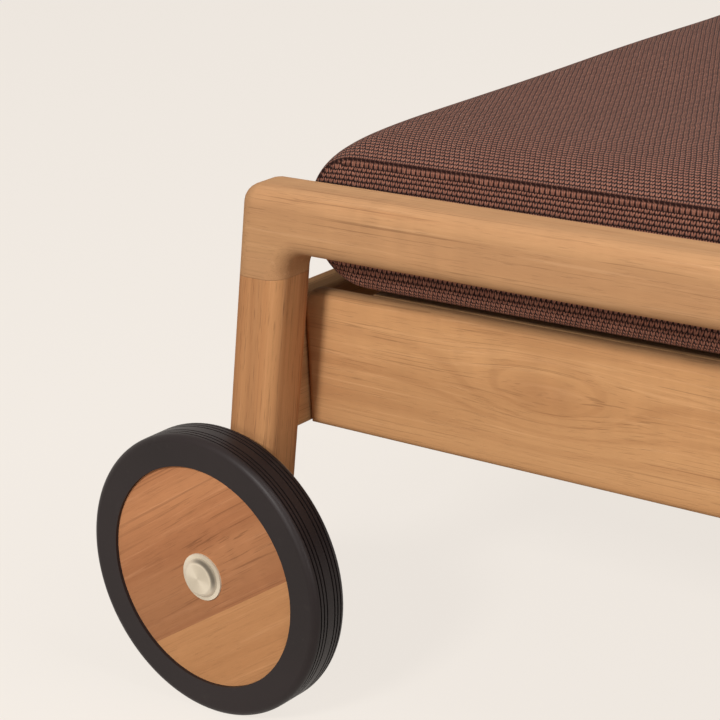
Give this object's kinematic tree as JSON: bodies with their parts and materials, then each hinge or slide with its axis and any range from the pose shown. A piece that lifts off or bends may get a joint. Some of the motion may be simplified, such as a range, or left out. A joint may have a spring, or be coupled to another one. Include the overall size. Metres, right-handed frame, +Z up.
{
  "type": "double chaise lounger",
  "caption": "Low wooden double chaise lounger with splayed legs, side rails, wheels at the head end, reclining slatted backs and long fabric cushions.",
  "frame": {"origin": "on the ground, under the middle of the whole lounger's box", "axes": "+X along the length from the wheeled head end to the foot end, +Y to the left of a person lying on it, +Z up"},
  "size_m": [2.0421, 1.5046, 0.393],
  "materials": {
    "rail_teak": "oiled, light golden teak, fine sanded",
    "leg_teak": "oiled, redder teak, grain along the leg",
    "board_teak": "oiled golden teak boards",
    "slat_teak": "sanded teak slats and frames",
    "wheel_teak": "oiled teak planks with dark pores",
    "tyre": "satin black rubber",
    "stainless": "brushed stainless",
    "brushed_cap": "turned stainless with a circular brushing",
    "fabric": "chunky woven outdoor fabric in brown and maroon over foam",
    "plastic": "matt black"
  },
  "bodies": {
    "root": {"head_cross_rail": "board_teak", "foot_cross_rail": "board_teak", "centre_beam": "board_teak", "hinge_rails": "board_teak", "seat_stiles": "slat_teak", "seat_screws": "stainless", "prop_racks": "slat_teak", "joint_bolts": "stainless", "barrel_nuts": "stainless", "frame_dowels": "slat_teak", "hinge_fixed_leaves": "stainless", "hinge_pins": "stainless", "axle_nuts": "stainless", "wheel_spacers": "plastic", "foot_glides": "plastic", "side_rail_right": "rail_teak", "head_leg_right": "leg_teak", "foot_leg_right": "leg_teak", "apron_right": "board_teak", "seat_slats_right": "slat_teak", "axle_right": "stainless", "seat_pad_right": "fabric", "side_rail_left": "rail_teak", "head_leg_left": "leg_teak", "foot_leg_left": "leg_teak", "apron_left": "board_teak", "seat_slats_left": "slat_teak", "axle_left": "stainless", "seat_pad_left": "fabric"},
    "backrest_right": {"backrest_stiles_right": "slat_teak", "backrest_rails_right": "slat_teak", "backrest_slats_right": "slat_teak", "backrest_screws_right": "stainless", "hinge_moving_leaves_right": "stainless", "prop_brackets_right": "stainless", "back_pad_right": "fabric", "cushion_fold_right": "fabric"},
    "prop_right": {"prop_arms_right": "stainless", "prop_foot_bar_right": "stainless", "prop_pins_right": "stainless"},
    "wheel_right": {"tyre_right": "tyre", "wheel_planks_right": "wheel_teak", "hub_cap_right": "brushed_cap", "wheel_bush_right": "plastic"},
    "backrest_left": {"backrest_stiles_left": "slat_teak", "backrest_rails_left": "slat_teak", "backrest_slats_left": "slat_teak", "backrest_screws_left": "stainless", "hinge_moving_leaves_left": "stainless", "prop_brackets_left": "stainless", "back_pad_left": "fabric", "cushion_fold_left": "fabric"},
    "prop_left": {"prop_arms_left": "stainless", "prop_foot_bar_left": "stainless", "prop_pins_left": "stainless"},
    "wheel_left": {"tyre_left": "tyre", "wheel_planks_left": "wheel_teak", "hub_cap_left": "brushed_cap", "wheel_bush_left": "plastic"}
  },
  "joints": [
    {"name": "recline_right", "type": "hinge", "parent": "root", "child": "backrest_right", "pos_m": [-0.10152, -0.327, 0.268], "axis": [0, 1, 0], "range_deg": [0, 60], "deforming": ["cushion_fold_right"]},
    {"name": "prop_pivot_right", "type": "hinge", "parent": "backrest_right", "child": "prop_right", "pos_m": [-0.30152, -0.327, 0.24], "axis": [0, 1, 0], "range_deg": [-120, 0]},
    {"name": "wheel_spin_right", "type": "hinge", "parent": "root", "child": "wheel_right", "pos_m": [-0.92152, -0.7468, 0.1], "axis": [0, 1, 0], "continuous": true},
    {"name": "recline_left", "type": "hinge", "parent": "root", "child": "backrest_left", "pos_m": [-0.10152, 0.327, 0.268], "axis": [0, 1, 0], "range_deg": [0, 60], "deforming": ["cushion_fold_left"]},
    {"name": "prop_pivot_left", "type": "hinge", "parent": "backrest_left", "child": "prop_left", "pos_m": [-0.30152, 0.327, 0.24], "axis": [0, 1, 0], "range_deg": [-120, 0]},
    {"name": "wheel_spin_left", "type": "hinge", "parent": "root", "child": "wheel_left", "pos_m": [-0.92152, 0.7468, 0.1], "axis": [0, 1, 0], "continuous": true}
  ],
  "couplings": [
    {"joint": "prop_pivot_right", "follows": "recline_right", "ratio": -2},
    {"joint": "prop_pivot_left", "follows": "recline_left", "ratio": -2}
  ]
}
